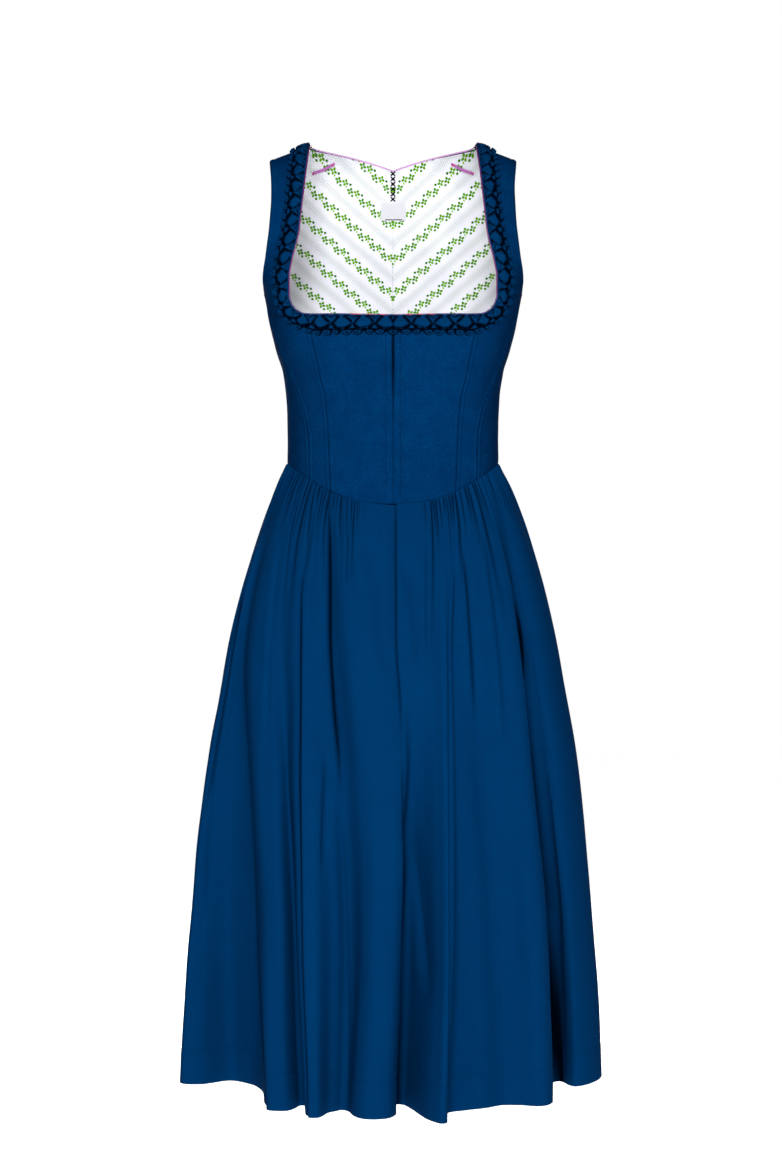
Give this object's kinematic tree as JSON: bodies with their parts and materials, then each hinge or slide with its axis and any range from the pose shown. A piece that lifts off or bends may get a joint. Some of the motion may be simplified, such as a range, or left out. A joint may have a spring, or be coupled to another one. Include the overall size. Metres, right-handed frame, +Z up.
{
  "type": "dirndl",
  "caption": "Sleeveless midi dirndl: fitted princess-seamed bodice with ruched square neckline, printed back lining and a gathered folded skirt, hollow as if worn",
  "frame": {"origin": "between the shoulders, level with their tops, where the wearer carries the dress", "axes": "+X to the viewer's right when facing the front, front faces -Y, +Z up"},
  "size_m": [0.4882, 0.4258, 1.0854],
  "materials": {
    "bodice_cloth": "matte fine twill",
    "skirt_cloth": "matte smooth, soft sheen",
    "ruched_trim": "matte, ruched strip",
    "lining_print": "printed cotton, green leaf vines on white",
    "piping": "satin",
    "ribbon": "satin ribbon",
    "label": "plain woven"
  },
  "bodies": {
    "root": {"front_centre_left": "bodice_cloth", "front_centre_right": "bodice_cloth", "front_side_left": "bodice_cloth", "front_side_right": "bodice_cloth", "side_left": "bodice_cloth", "side_right": "bodice_cloth", "back_left": "bodice_cloth", "back_right": "bodice_cloth", "back_lining_left": "lining_print", "back_lining_right": "lining_print", "trim_left": "ruched_trim", "trim_right": "ruched_trim", "strap_keeper_left": "ribbon", "strap_keeper_right": "ribbon", "neck_piping": "piping", "label": "label", "skirt_front_side_left": "skirt_cloth", "skirt_front_side_right": "skirt_cloth", "skirt_front_left": "skirt_cloth", "skirt_front_right": "skirt_cloth", "skirt_back_left": "skirt_cloth", "skirt_back_right": "skirt_cloth", "skirt_back_side_left": "skirt_cloth", "skirt_back_side_right": "skirt_cloth"}
  },
  "joints": []
}
